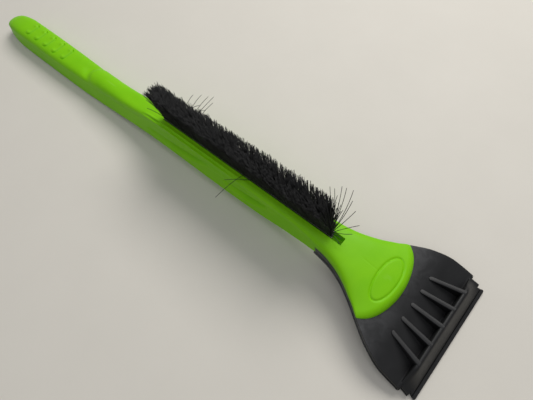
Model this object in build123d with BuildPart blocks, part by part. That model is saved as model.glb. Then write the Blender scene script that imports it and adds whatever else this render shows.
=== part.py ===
"""Windshield ice scraper with a snow brush: green moulded handle, black scraper head, strip brush.

Millimetres. +X runs from the grip to the blade edge, +Y across the tool, +Z up.
The tool lies on its back, bristles up. The origin is under the middle of its length, on the surface
that it lies on. A place along the tool is its distance from the blade edge, back towards the grip.
"""

from build123d import *
from math import cos, pi, sin
import os

# ---------------------------------------------------------------- driving sizes
overall_length = 614.0
grip_length = 158.0         # from the grip's end to the thumb rise
blade_width = 108.0
head_overhang = 6.4         # how much wider the head is behind its teeth than at the blade

grip_height = 25.5
grip_base_width = 32.0
grip_top_width = 28.0
grip_flat = 0.4             # cut off the grip's underside, which leaves it truly flat

beam_top_z = 43.5           # height of the brush beam's top face
beam_crown = 7.0
beam_top_width = 22.0
beam_base_width = 26.0
beam_base_z = 13.5

hood_start = 127.0          # place of the joint between the handle and the head
hood_front = 51.0
hood_side_bow = 17.0        # how much further back the hood's front corners are than its middle
hood_groove_depth = 0.9
hood_groove_width = 1.6
hood_oval_length = 42.0
hood_oval_width = 17.0
hood_oval_setback = 15.5    # from the hood's front to the oval's middle
joint_width = 29.2
joint_height = 11.5         # height of the head at the joint

hang_hole_radius = 3.5
hang_hole_setback = 10.0    # from the grip's end
hang_hole_z = 11.0

finger_groove_count = 5
finger_groove_pitch = 17.0
finger_groove_setback = 55.0
finger_groove_radius = 5.0
finger_groove_depth = 1.2
finger_groove_length = 18.0

scoop_depth = 4.6
scoop_height = 12.0
scoop_rise = 3.5            # from the beam's base to the scoops' lower edge
scoops = [(0.90, 0.22), (0.455, 0.14)]  # middle and half length, as shares of the beam's length

slot_width = 7.3
slot_depth = 9.0
slot_floor = 1.1            # wall between the slot and the head's plate
slot_start = 318.5
slot_end = 110.0
slot_pocket = 11.0          # open end of the slot, past the brush
brush_end_clearance = 0.6
channel_side_clearance = 0.1
channel_rise = 0.2          # how far the channel stands out of the slot
channel_wall = 0.6
channel_mouth_pinch = 0.7
wire_radius = 1.1
wire_overhang = 0.9

bristle_free_length = 37.5
bristle_tip_width = 17.5
bristle_lean = 9.0
bristle_waist = 0.5         # height above the channel at which the bundles start to spread
bundle_count = 24
bundle_gap = 0.25
filament_clearance = 0.12

head_wall = 2.6
blade_lip_depth = 3.3
blade_lip_thickness = 2.6
blade_lip_rise = 0.9
bar_place = 15.0
bar_top_z = 20.0
bar_body_height = 12.0
bar_land = 3.4
bar_end_margin = 11.0       # from the blade's corner to the bar's end, half way up
bar_end_slope = 7.0
plate_front_z = 10.2        # height of the plate where it meets the bar
tooth_place = 13.4
tooth_step = 2.9
rib_width = 3.6
rib_count = 5
rib_fan_degrees = 7.2       # angle from one rib to the next
rib_inner_place = 41.0
rib_end_margin = 8.6        # from the bar's end to the last rib

tenon_length = 23.0
tenon_width = 14.0
tenon_height = 7.0
tenon_clearance = 0.2

screw_radius = 1.75
screw_head_radius = 3.6
screw_head_height = 2.4
screw_length = 11.0
screw_spacing = 30.0
screw_place = 84.0
screw_hole_clearance = 0.25
screw_boss_radius = 5.2
screw_boss_height = 3.3
screw_drive_width = 1.1
screw_drive_share = 0.55    # of the screw head's width

# ---------------------------------------------------------------- derived sizes
blade_x = overall_length / 2
grip_base = grip_base_width / 2
grip_top = grip_top_width / 2
beam_base = beam_base_width / 2
beam_top = beam_top_width / 2
beam_edge_z = beam_top_z - beam_crown
blade_half = blade_width / 2
head_half = blade_half + head_overhang / 2
joint_half = joint_width / 2
plate_back_z = beam_top_z - slot_depth - slot_floor
far_out = overall_length
wide = 2 * head_half


def x_at(place):
    """X of a place along the tool."""
    return blade_x - place


def grip_at(share):
    """Place in the grip: share 0 at the thumb rise, 1 at the grip's end."""
    return overall_length - (1 - share) * grip_length


def neck_at(share):
    """Place in the neck: share 0 at the brush slot, 1 at the grip."""
    return slot_start + share * (overall_length - grip_length - slot_start)


def beam_at(share):
    """Place in the brush beam: share 0 at the joint with the head, 1 at the slot's start."""
    return hood_start + share * (slot_start - hood_start)


def head_at(share):
    """Place in the head: share 0 at the bar, 1 at the joint."""
    return bar_place + share * (hood_start - bar_place)


def head_side(share):
    """Half width in the head: share 0 as at the joint, 1 as at its widest."""
    return joint_half + share * (head_half - joint_half)


def plate_z(share):
    """Height of the head's plate: share 0 as at the bar, 1 as at the joint."""
    return plate_front_z + share * (plate_back_z - plate_front_z)


def crown_z(share):
    """Height of the hood's crown: share 0 as the plate at the bar, 1 as the beam's top."""
    return plate_front_z + share * (beam_top_z - plate_front_z)


# Handle stations: place, base z, base half width, shoulder z, shoulder half width, top z.
stations = [
    (overall_length, 8.0, 2.6, 10.5, 2.4, grip_height - 13.0),
    (overall_length - 2.0, 5.0, 6.6, 11.5, 6.2, grip_height - 10.2),
    (overall_length - 8.0, 2.0, grip_base - 5.0, 14.5, grip_top - 4.2, grip_height - 6.7),
    (overall_length - 20.0, 0.0, grip_base - 2.2, 16.5, grip_top - 1.6, grip_height - 2.4),
    (overall_length - 40.0, -grip_flat, grip_base - 0.3, 18.0, grip_top, grip_height - 0.1),
    (grip_at(0.6), -grip_flat, grip_base, 18.5, grip_top, grip_height),
    (grip_at(0.4), -grip_flat, grip_base, 18.5, grip_top - 0.2, grip_height),
    (grip_at(0.2), -grip_flat, grip_base, 18.5, grip_top - 0.6, grip_height),
    (neck_at(1.0), -grip_flat, grip_base - 0.2, 18.5, grip_top - 1.2, grip_height),
    (neck_at(0.775), 1.5, grip_base - 1.0, 20.0, grip_top - 2.2, grip_height + 3.4),
    (neck_at(0.556), 4.5, grip_base - 1.7, 23.5, beam_top, grip_height + 7.3),
    (neck_at(0.302), beam_base_z - 4.5, beam_base + 0.5, beam_edge_z - 7.5, beam_top - 0.2, beam_top_z - 5.6),
    (neck_at(0.084), beam_base_z - 1.5, beam_base + 0.1, beam_edge_z - 2.5, beam_top - 0.2, beam_top_z - 1.0),
    (beam_at(0.90), beam_base_z - 0.4, beam_base, beam_edge_z, beam_top, beam_top_z),
    (beam_at(0.59), beam_base_z, beam_base, beam_edge_z, beam_top, beam_top_z),
    (beam_at(0.33), beam_base_z + 1.5, beam_base - 0.4, beam_edge_z, beam_top - 0.2, beam_top_z),
    (beam_at(0.17), beam_base_z + 4.0, beam_base - 0.4, beam_edge_z, beam_top, beam_top_z),
    (beam_at(0.068), beam_base_z + 6.0, joint_half - 1.1, beam_edge_z - 0.5, joint_half - 2.4, beam_top_z),
    (head_at(0.955), plate_back_z - 11.4, head_side(0.016), plate_z(1.05), head_side(0.01), crown_z(1.0)),
    (head_at(0.81), plate_back_z - 11.4, head_side(0.096), plate_z(0.966), head_side(0.09), crown_z(0.979)),
    (head_at(0.69), plate_back_z - 11.9, head_side(0.232), plate_z(0.905), head_side(0.228), crown_z(0.919)),
    (head_at(0.56), plate_back_z - 13.4, head_side(0.423), plate_z(0.845), head_side(0.418), crown_z(0.823)),
    (head_at(0.44), plate_back_z - 15.4, head_side(0.643), plate_z(0.75), head_side(0.638), crown_z(0.715)),
    (head_at(0.28), plate_back_z - 19.4, head_side(0.866), plate_z(0.595), head_side(0.854), crown_z(0.571)),
]


def crown_points(half_width, shoulder_z, top_z, count=6, roundness=0.62):
    """Points of a rounded crown, from its +Y shoulder over the top to its -Y shoulder."""
    points = []
    for step in range(count + 1):
        angle = pi * step / count
        across = half_width * abs(cos(angle)) ** roundness
        side = 1 if step < count / 2 else -1
        points.append((side * across, shoulder_z + (top_z - shoulder_z) * sin(angle) ** roundness))
    points[0] = (half_width, shoulder_z)
    points[count] = (-half_width, shoulder_z)
    return points


def handle_section(station, lowered=0.0):
    """Closed section of the handle at one station, its crown lowered."""
    place, base_z, base_half, shoulder_z, shoulder_half, top_z = station
    crown = crown_points(shoulder_half, shoulder_z - lowered, top_z - lowered)
    with BuildSketch(Plane.YZ.offset(x_at(place))) as section:
        with BuildLine():
            Spline(*crown, tangents=[(0, 1), (0, -1)])
            Line(crown[-1], (-base_half, base_z))
            Line((-base_half, base_z), (base_half, base_z))
            Line((base_half, base_z), crown[0])
        make_face()
    return section.sketch


def head_outline(inset=0.0):
    """Plan points of the head's +Y side, from the joint to the first tooth, moved inwards."""
    shares = [(1, 0), (0.87, 0.056), (0.74, 0.167), (0.6, 0.366), (0.45, 0.61), (0.31, 0.826), (0.15, 0.97)]
    points = [(x_at(head_at(place)), head_side(side) - inset) for place, side in shares]
    return points + [(x_at(bar_place - 1.0), head_half - inset)]


def plate_top(drop=0.0):
    """Side-view points of the head plate's top, from the joint to the bar, moved down."""
    shares = [(1.0, 1.0), (0.78, 0.935), (0.6, 0.845), (0.455, 0.733), (0.31, 0.56), (0.15, 0.285), (0, 0)]
    return [(x_at(head_at(place)), plate_z(height) - drop) for place, height in shares]


def plate_under():
    """Side-view points of the head's underside, from the blade to the joint."""
    joint_z = plate_back_z - joint_height
    shares = [(0.03, 0.21), (0.195, 0.502), (0.385, 0.758), (0.56, 0.94), (0.76, 1.02), (1.0, 1.0)]
    return [(x_at(2.0), 0.0)] + [(x_at(head_at(place)), height * joint_z) for place, height in shares]


def plate_z_at(place):
    """Height of the plate's top at a place, along straight lines between its points."""
    x = x_at(place)
    points = plate_top()
    for (x1, z1), (x2, z2) in zip(points, points[1:]):
        if x1 <= x <= x2:
            return z1 + (z2 - z1) * (x - x1) / (x2 - x1)
    return plate_back_z


lip_top = (x_at(blade_lip_depth), blade_lip_thickness + blade_lip_rise)
blade_tip = (x_at(0.0), blade_lip_thickness)
bar_half = blade_half - bar_end_margin
rib_pitch_at_bar = 2 * (bar_half - rib_end_margin) / (rib_count - 1)
tenon_z = plate_back_z - joint_height / 2
screw_seat_z = plate_z_at(screw_place) - head_wall - screw_boss_height
screw_spots = [(x_at(screw_place), screw_spacing / 2), (x_at(screw_place), -screw_spacing / 2)]

# ---------------------------------------------------------------- handle
with BuildPart() as hood_core:
    loft([handle_section(station, lowered=hood_groove_depth) for station in stations[-8:]])

with BuildPart() as oval_groove:
    with BuildSketch(Plane.XY.offset(plate_front_z)):
        with Locations((x_at(hood_front + hood_oval_setback), 0)):
            Ellipse(hood_oval_width / 2, hood_oval_length / 2)
            Ellipse(
                hood_oval_width / 2 - hood_groove_width,
                hood_oval_length / 2 - hood_groove_width,
                mode=Mode.SUBTRACT,
            )
    extrude(amount=beam_top_z)
    add(hood_core.part, mode=Mode.SUBTRACT)

with BuildPart() as handle:
    loft([handle_section(station) for station in stations])
    # The grip's underside is flat: what reaches below the surface is cut off.
    with BuildSketch(Plane.XY):
        Rectangle(2 * far_out, wide)
    extrude(amount=-grip_height, mode=Mode.SUBTRACT)
    # The hood ends in a rounded front, seen in plan.
    with BuildSketch(Plane.XY):
        with BuildLine():
            corner_x = x_at(hood_front + hood_side_bow)
            back_x = x_at(head_at(0.56))
            front = Spline(
                (back_x, head_side(0.43)),
                (corner_x, head_side(0.535)),
                ((corner_x + x_at(hood_front)) / 2, head_side(0.33)),
                (x_at(hood_front), 0),
                ((corner_x + x_at(hood_front)) / 2, -head_side(0.33)),
                (corner_x, -head_side(0.535)),
                (back_x, -head_side(0.43)),
            )
            Polyline(
                front @ 1,
                (back_x, -wide),
                (-far_out, -wide),
                (-far_out, wide),
                (back_x, wide),
                front @ 0,
            )
        make_face()
    extrude(amount=2 * beam_top_z, mode=Mode.INTERSECT)
    # Below the hood the head takes over: everything under its plate is open.
    with BuildSketch(Plane.XZ):
        with BuildLine():
            seat = Spline(*plate_top())
            Polyline(
                seat @ 1,
                (far_out, 0),
                (far_out, -beam_top_z),
                (x_at(hood_start), -beam_top_z),
                seat @ 0,
            )
        make_face()
    extrude(amount=wide, both=True, mode=Mode.SUBTRACT)
    # Slot for the brush strip, open on top.
    with BuildSketch(Plane.XY.offset(beam_top_z - slot_depth)):
        with Locations((x_at((slot_start + slot_end) / 2), 0)):
            Rectangle(slot_start - slot_end, slot_width)
    extrude(amount=2 * slot_depth, mode=Mode.SUBTRACT)
    # Socket for the head's tenon.
    with BuildSketch(Plane.YZ.offset(x_at(hood_start))):
        with Locations((0, tenon_z)):
            Rectangle(tenon_width + 2 * tenon_clearance, tenon_height + 2 * tenon_clearance)
    extrude(amount=-(tenon_length + tenon_clearance), mode=Mode.SUBTRACT)
    # Pilot holes for the two screws that come up through the head.
    with BuildSketch(Plane.XY.offset(screw_seat_z)):
        with Locations(*screw_spots):
            Circle(screw_radius)
    extrude(amount=screw_length + screw_hole_clearance, mode=Mode.SUBTRACT)
    # Hang hole through the grip's end.
    with BuildSketch(Plane.XZ):
        with Locations((x_at(overall_length - hang_hole_setback), hang_hole_z)):
            Circle(hang_hole_radius)
    extrude(amount=grip_base_width, both=True, mode=Mode.SUBTRACT)
    # Finger grooves across the grip.
    groove_axis_z = grip_height - finger_groove_depth + finger_groove_radius
    with BuildSketch(Plane.XZ):
        for number in range(finger_groove_count):
            groove_place = overall_length - finger_groove_setback - number * finger_groove_pitch
            with Locations((x_at(groove_place), groove_axis_z)):
                Circle(finger_groove_radius)
    extrude(amount=finger_groove_length / 2, both=True, mode=Mode.SUBTRACT)
    # Long shallow scoops in both flanks of the beam.
    for middle, half_share in scoops:
        half_length = half_share * (slot_start - hood_start)
        radius = (half_length**2 + scoop_depth**2) / (2 * scoop_depth)
        for side in (1, -1):
            with BuildSketch(Plane.XY.offset(beam_base_z + scoop_rise)):
                with Locations((x_at(beam_at(middle)), side * (beam_base - scoop_depth + radius))):
                    Circle(radius)
            extrude(amount=scoop_height, mode=Mode.SUBTRACT)
    add(oval_groove.part, mode=Mode.SUBTRACT)
handle.part.label = "handle"

# ---------------------------------------------------------------- scraper head
with BuildPart() as head_recess:
    with BuildSketch(Plane.XY.offset(-beam_top_z)):
        with BuildLine():
            flank = Spline(*head_outline(inset=head_wall))
            mirror(flank, about=Plane.XZ)
            Line(flank @ 0, (x_at(hood_start), head_wall - joint_half))
            Line(flank @ 1, (x_at(bar_place - 1.0), head_wall - head_half))
        make_face()
    extrude(amount=2 * beam_top_z)
    with BuildSketch(Plane.XZ):
        with BuildLine():
            ceiling = Spline(*plate_top(drop=head_wall))
            Polyline(
                ceiling @ 1,
                (x_at(bar_place), -beam_top_z),
                (x_at(hood_start), -beam_top_z),
                ceiling @ 0,
            )
        make_face()
    extrude(amount=wide, both=True, mode=Mode.INTERSECT)
    # A thick back wall carries the tenon.
    with BuildSketch(Plane.YZ.offset(x_at(hood_start))):
        Rectangle(wide, 2 * beam_top_z)
    extrude(amount=2 * head_wall, mode=Mode.SUBTRACT)

with BuildPart() as edge_bar:
    with BuildSketch(Plane.XZ):
        with BuildLine():
            Polyline(
                (x_at(bar_place), bar_top_z - bar_body_height),
                (x_at(bar_place), bar_top_z),
                (x_at(bar_place - bar_land), bar_top_z),
                lip_top,
                close=True,
            )
        make_face()
    extrude(amount=wide, both=True)
    with BuildSketch(Plane.YZ.offset(x_at(2 * bar_place))):
        with BuildLine():
            Polyline(
                (-bar_half - bar_end_slope, 0),
                (-bar_half + bar_end_slope, bar_top_z),
                (bar_half - bar_end_slope, bar_top_z),
                (bar_half + bar_end_slope, 0),
                close=True,
            )
        make_face()
    extrude(amount=2 * bar_place, mode=Mode.INTERSECT)

with BuildPart() as ribs:
    fan_centre = rib_pitch_at_bar / sin(rib_fan_degrees * pi / 180) + bar_place
    with BuildSketch(Plane.XY):
        with Locations((x_at(fan_centre), 0)):
            with PolarLocations(
                fan_centre - (rib_inner_place + bar_place) / 2,
                rib_count,
                start_angle=-rib_fan_degrees * (rib_count - 1) / 2,
                angular_range=rib_fan_degrees * (rib_count - 1),
                endpoint=True,
            ):
                SlotOverall(rib_inner_place - bar_place + bar_land, rib_width)
    extrude(amount=bar_top_z)
    with BuildSketch(Plane.XZ):
        with BuildLine():
            floor = Spline(*plate_top(drop=1.0))
            rib_end_x = x_at(bar_place - bar_land / 2)
            Polyline(
                floor @ 1,
                (rib_end_x, plate_front_z - 1.0),
                (rib_end_x, beam_top_z),
                (x_at(hood_start), beam_top_z),
                floor @ 0,
            )
        make_face()
    extrude(amount=wide, both=True, mode=Mode.INTERSECT)

with BuildPart() as scraper_head:
    with BuildSketch(Plane.XY.offset(-1.0)):
        with BuildLine():
            side = Spline(*head_outline())
            teeth = Polyline(
                side @ 1,
                (x_at(tooth_place), head_half - tooth_step),
                (x_at(6.0), head_half - 0.6 * tooth_step),
                (x_at(5.3), blade_half - 0.5 * tooth_step),
                (x_at(1.3), blade_half + 0.6),
                (x_at(0), blade_half),
            )
            mirror(side, about=Plane.XZ)
            mirror(teeth, about=Plane.XZ)
            Line((x_at(0), blade_half), (x_at(0), -blade_half))
            Line((x_at(hood_start), joint_half), (x_at(hood_start), -joint_half))
        make_face()
    extrude(amount=beam_top_z)
    with BuildSketch(Plane.XZ):
        with BuildLine():
            top = Spline(*plate_top())
            front = Polyline(top @ 1, lip_top, blade_tip, (x_at(0), 0), (x_at(2.0), 0))
            under = Spline(*plate_under())
            Line(under @ 1, top @ 0)
        make_face()
    extrude(amount=wide, both=True, mode=Mode.INTERSECT)
    add(head_recess.part, mode=Mode.SUBTRACT)
    add(edge_bar.part)
    add(ribs.part)
    # Screw bosses under the plate.
    with BuildSketch(Plane.XY.offset(screw_seat_z)):
        with Locations(*screw_spots):
            Circle(screw_boss_radius)
    extrude(amount=screw_boss_height + head_wall / 2)
    with BuildSketch(Plane.XY.offset(screw_seat_z)):
        with Locations(*screw_spots):
            Circle(screw_radius + screw_hole_clearance)
    extrude(amount=screw_length, mode=Mode.SUBTRACT)
    # Room for the screws' heads below their seats, which matters if the side wall comes near them.
    with BuildSketch(Plane.XY.offset(screw_seat_z)):
        with Locations(*screw_spots):
            Circle(screw_head_radius + screw_hole_clearance)
    extrude(amount=-screw_seat_z, mode=Mode.SUBTRACT)
    # Tenon that slides into the handle.
    with BuildSketch(Plane.YZ.offset(x_at(hood_start))):
        with Locations((0, tenon_z)):
            Rectangle(tenon_width, tenon_height)
    extrude(amount=-tenon_length)
scraper_head.part.label = "scraper_head"

# ---------------------------------------------------------------- screws
with BuildPart() as head_screws:
    with BuildSketch(Plane.XY.offset(screw_seat_z)):
        with Locations(*screw_spots):
            Circle(screw_head_radius)
    extrude(amount=-screw_head_height)
    with BuildSketch(Plane.XY.offset(screw_seat_z)):
        with Locations(*screw_spots):
            Circle(screw_radius)
    extrude(amount=screw_length)
    # Cross recess in each head.
    with BuildSketch(Plane.XY.offset(screw_seat_z - screw_head_height)):
        with Locations(*screw_spots):
            Rectangle(2 * screw_head_radius * screw_drive_share, screw_drive_width)
            Rectangle(screw_drive_width, 2 * screw_head_radius * screw_drive_share)
    extrude(amount=screw_head_height / 2, mode=Mode.SUBTRACT)
head_screws.part.label = "head_screws"

# ---------------------------------------------------------------- brush strip
channel_half = slot_width / 2 - channel_side_clearance
channel_floor_z = beam_top_z - slot_depth
channel_top_z = beam_top_z + channel_rise
channel_waist_z = (channel_floor_z + channel_top_z) / 2
mouth_half = channel_half - channel_mouth_pinch
brush_back_x = x_at(slot_start) + brush_end_clearance
brush_length = slot_start - slot_end - brush_end_clearance - slot_pocket
wire_z = channel_floor_z + channel_wall + wire_radius + filament_clearance

with BuildPart() as brush_channel:
    with BuildSketch(Plane.YZ.offset(brush_back_x)):
        with BuildLine():
            Polyline(
                (-channel_half, channel_floor_z),
                (-channel_half, channel_waist_z),
                (-mouth_half, channel_top_z),
                (-mouth_half + channel_wall, channel_top_z),
                (-channel_half + channel_wall, channel_waist_z),
                (-channel_half + channel_wall, channel_floor_z + channel_wall),
                (channel_half - channel_wall, channel_floor_z + channel_wall),
                (channel_half - channel_wall, channel_waist_z),
                (mouth_half - channel_wall, channel_top_z),
                (mouth_half, channel_top_z),
                (channel_half, channel_waist_z),
                (channel_half, channel_floor_z),
                close=True,
            )
        make_face()
    extrude(amount=brush_length)
brush_channel.part.label = "brush_channel"

with BuildPart() as core_wire:
    with BuildSketch(Plane.YZ.offset(brush_back_x)):
        with Locations((0, wire_z)):
            Circle(wire_radius)
    extrude(amount=brush_length + wire_overhang)
core_wire.part.label = "core_wire"

bundle_pitch = brush_length / bundle_count
bundle_foot_width = 2 * (mouth_half - channel_wall - filament_clearance)
bundle_levels = [
    (wire_z + wire_radius + filament_clearance, bundle_foot_width, 0.0),
    (channel_top_z + bristle_waist, bundle_foot_width, bristle_waist),
    (beam_top_z + bristle_free_length, bristle_tip_width, bristle_lean),
]
with BuildPart() as bristle_fill:
    for number in range(bundle_count):
        foot_x = brush_back_x + (number + 0.5) * bundle_pitch
        for level_z, level_width, lean in bundle_levels:
            with BuildSketch(Plane.XY.offset(level_z)):
                with Locations((foot_x - lean, 0)):
                    Rectangle(bundle_pitch - bundle_gap, level_width)
        loft(ruled=True)
bristle_fill.part.label = "bristle_fill"

# ---------------------------------------------------------------- files
os.makedirs("parts", exist_ok=True)
for piece in (handle, scraper_head, head_screws, brush_channel, core_wire, bristle_fill):
    solids = piece.part.solids()
    print(piece.part.label, len(solids), "solids,", round(piece.part.volume / 1000, 1), "cm3")
    export_step(piece.part, "parts/" + piece.part.label + ".step")
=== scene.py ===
"""The looks of a windshield ice scraper with a snow brush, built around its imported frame.

The tool lies on its back with its bristles up. +X runs from the grip to the blade edge, +Y across the
tool and +Z up. Sizes in the classes are in millimetres, and a station along the tool is its reach: the
distance from the blade edge back towards the grip. make_piece() turns both into the frame's metres.
"""

import logging
import math
from dataclasses import dataclass, field
from enum import Enum

import bpy
import numpy as np
from mathutils import Matrix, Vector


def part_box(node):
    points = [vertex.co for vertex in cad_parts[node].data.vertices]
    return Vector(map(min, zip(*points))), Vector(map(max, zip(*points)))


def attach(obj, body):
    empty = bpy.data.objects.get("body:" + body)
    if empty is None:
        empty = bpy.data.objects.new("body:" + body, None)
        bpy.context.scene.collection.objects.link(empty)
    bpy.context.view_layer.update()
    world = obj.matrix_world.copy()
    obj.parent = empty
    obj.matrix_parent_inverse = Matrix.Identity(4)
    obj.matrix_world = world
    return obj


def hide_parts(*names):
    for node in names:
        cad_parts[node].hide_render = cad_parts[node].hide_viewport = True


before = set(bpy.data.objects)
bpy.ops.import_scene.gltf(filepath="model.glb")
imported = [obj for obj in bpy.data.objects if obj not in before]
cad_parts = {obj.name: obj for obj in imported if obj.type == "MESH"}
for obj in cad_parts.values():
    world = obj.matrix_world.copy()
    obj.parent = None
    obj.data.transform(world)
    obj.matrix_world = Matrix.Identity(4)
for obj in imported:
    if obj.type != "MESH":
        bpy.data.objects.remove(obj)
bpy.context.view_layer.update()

LOG = logging.getLogger("ice_scraper")
MM = 0.001
BODY = "root"
BLADE_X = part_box("scraper_head")[1].x / MM
GRIP_END = BLADE_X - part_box("handle")[0].x / MM


# ---------------------------------------------------------------------------- curves and grids


def eased(at: np.ndarray, places: list[float], values: list[float]) -> np.ndarray:
    """Smooth curve through a few points that never overshoots them.

    Formula: a cubic between neighbours, with each point's slope the harmonic mean of the two slopes
    beside it, and level where they disagree in sign.

    Args:
        at: Where the curve is wanted, of any shape.
        places: The points' places, rising or falling.
        values: The points' values.

    Returns:
        The curve's values, shaped as at.
    """
    order = np.argsort(places)
    x, y = np.asarray(places, float)[order], np.asarray(values, float)[order]
    step = np.diff(x)
    slope = np.diff(y) / step
    left, right = slope[:-1], slope[1:]
    agree = left * right > 0
    safe_left, safe_right = np.where(agree, left, 1.0), np.where(agree, right, 1.0)
    heavy, light = 2 * step[1:] + step[:-1], step[1:] + 2 * step[:-1]
    tangent = np.empty_like(y)
    tangent[0], tangent[-1] = slope[0], slope[-1]
    tangent[1:-1] = np.where(agree, (heavy + light) / (heavy / safe_left + light / safe_right), 0.0)
    k = np.clip(np.searchsorted(x, at) - 1, 0, len(x) - 2)
    t = np.clip((at - x[k]) / step[k], 0.0, 1.0)
    bend = t * t * (3 - 2 * t)
    return (
        y[k] * (1 - bend)
        + y[k + 1] * bend
        + step[k] * (tangent[k] * t * (1 - t) ** 2 - tangent[k + 1] * t * t * (1 - t))
    )


def ramp(value: np.ndarray, start: float, end: float) -> np.ndarray:
    """Smooth step from 0 at start to 1 at end, by 3t^2 - 2t^3."""
    t = np.clip((value - start) / (end - start), 0.0, 1.0)
    return t * t * (3 - 2 * t)


def hump(value: np.ndarray, middle: float, width: float) -> np.ndarray:
    """Bell of height 1 about middle, by e to the minus squared distance over width."""
    return np.exp(-(((value - middle) / width) ** 2))


def joined_steps(*stretches: tuple[float, float, int]) -> np.ndarray:
    """Evenly spaced numbers over several stretches in a row.

    Args:
        stretches: Start, end and number of steps of each stretch; its end isn't included.

    Returns:
        The numbers of all stretches, one after the other.
    """
    return np.concatenate([np.linspace(a, b, n, endpoint=False) for a, b, n in stretches])


@dataclass
class Shell:
    """A closed surface: its points in millimetres and its faces as rows of point numbers."""

    points: np.ndarray
    quads: np.ndarray
    tris: np.ndarray

    def outward(self) -> "Shell":
        """The same shell with its faces turned outwards.

        Formula: the signed volume is the sum of the tetrahedra from the origin to each triangle, and
        it is negative when the faces look inwards.
        """
        corners = np.vstack([self.tris, self.quads[:, [0, 1, 2]], self.quads[:, [0, 2, 3]]])
        a, b, c = (self.points[corners[:, i]] for i in range(3))
        if np.einsum("ij,ij->", a, np.cross(b, c)) < 0:
            return Shell(self.points, self.quads[:, ::-1], self.tris[:, ::-1])
        return self


def joined(shells: list[Shell]) -> Shell:
    """One shell holding the faces of several."""
    starts = np.cumsum([0] + [len(s.points) for s in shells[:-1]])
    return Shell(
        np.vstack([s.points for s in shells]),
        np.vstack([s.quads + n for s, n in zip(shells, starts)]),
        np.vstack([s.tris + n for s, n in zip(shells, starts)]),
    )


def closed_sweep(rings: np.ndarray) -> Shell:
    """Closed shell over a grid of rings, each end capped by a fan round a middle point.

    Formula: point (r, c) joins its neighbours (r, c+1), (r+1, c+1) and (r+1, c), where c wraps round.

    Args:
        rings: Array of shape (rings, points in a ring, 3).

    Returns:
        The shell, its faces outwards.
    """
    rows, cols = rings.shape[:2]
    number = np.arange(rows * cols).reshape(rows, cols)
    after = np.roll(number, -1, axis=1)
    quads = np.stack([number[:-1], after[:-1], after[1:], number[1:]], axis=-1).reshape(-1, 4)
    middles = np.stack([rings[0].mean(axis=0), rings[-1].mean(axis=0)])
    first = np.stack([after[0], number[0], np.full(cols, rows * cols)], axis=-1)
    last = np.stack([number[-1], after[-1], np.full(cols, rows * cols + 1)], axis=-1)
    points = np.vstack([rings.reshape(-1, 3), middles])
    return Shell(points, quads, np.vstack([first, last])).outward()


def tubes(paths: np.ndarray, radii: np.ndarray, sides: int) -> Shell:
    """Many thin closed tubes at once, one along each path.

    Formula: at each point the ring is the path's point plus its radius times the cosine and sine of
    equal angles, along two directions square to the path.

    Args:
        paths: Array of shape (tubes, points in a path, 3).
        radii: Array of shape (tubes, points in a path).
        sides: Number of sides of each tube, 3 or 4.

    Returns:
        The shell of all tubes.
    """
    count, length = paths.shape[:2]
    along = np.gradient(paths, axis=1)
    along /= np.linalg.norm(along, axis=2, keepdims=True)
    helper = np.zeros_like(along)
    helper[..., 0] = 1.0
    flat = np.abs(along[..., 0]) > 0.9
    helper[flat] = (0.0, 1.0, 0.0)
    first = np.cross(along, helper)
    first /= np.linalg.norm(first, axis=2, keepdims=True)
    second = np.cross(along, first)
    turn = np.arange(sides) * 2 * math.pi / sides
    ring = (
        paths[:, :, None]
        + (first[:, :, None] * np.cos(turn)[:, None] + second[:, :, None] * np.sin(turn)[:, None])
        * radii[:, :, None, None]
    )
    number = np.arange(count * length * sides).reshape(count, length, sides)
    after = np.roll(number, -1, axis=2)
    quads = np.stack([number[:, :-1], after[:, :-1], after[:, 1:], number[:, 1:]], axis=-1).reshape(-1, 4)
    root, tip = number[:, 0], number[:, -1]
    if sides == 3:
        caps = np.vstack([root[:, ::-1], tip])
        return Shell(ring.reshape(-1, 3), quads, caps).outward()
    quads = np.vstack([quads, root[:, ::-1], tip])
    return Shell(ring.reshape(-1, 3), quads, np.empty((0, 3), int)).outward()


# ---------------------------------------------------------------------------- shader expressions


class Wire:
    """A socket of a node tree on which Python's operators add Math nodes."""

    def __init__(self, paint: "Paint", socket: bpy.types.NodeSocket) -> None:
        """Wraps one output socket of paint's node tree."""
        self.paint = paint
        self.socket = socket

    def _math(self, operation: str, *values: "Wire | float", clamp: bool = False) -> "Wire":
        """Adds one Math node.

        Args:
            operation: The node's operation.
            values: Its inputs in order.
            clamp: Whether the result is kept from 0 to 1.

        Returns:
            The node's result.
        """
        settings = {"operation": operation, "use_clamp": clamp}
        return self.paint.node("ShaderNodeMath", settings, dict(enumerate(values)))

    def __add__(self, other: "Wire | float") -> "Wire":
        """self + other."""
        return self._math("ADD", self, other)

    def __radd__(self, other: float) -> "Wire":
        """other + self."""
        return self._math("ADD", other, self)

    def __rsub__(self, other: float) -> "Wire":
        """other - self."""
        return self._math("SUBTRACT", other, self)

    def __mul__(self, other: "Wire | float") -> "Wire":
        """self * other."""
        return self._math("MULTIPLY", self, other)

    def __rmul__(self, other: float) -> "Wire":
        """other * self."""
        return self._math("MULTIPLY", other, self)

    def clamped(self) -> "Wire":
        """self kept from 0 to 1."""
        return self._math("ADD", self, 0.0, clamp=True)

    def band(self, start: float, end: float) -> "Wire":
        """Smooth step of self, from 0 at start to 1 at end."""
        settings = {"interpolation_type": "SMOOTHSTEP", "clamp": True}
        inputs = {"Value": self, "From Min": start, "From Max": end}
        return self.paint.node("ShaderNodeMapRange", settings, inputs)


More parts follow.
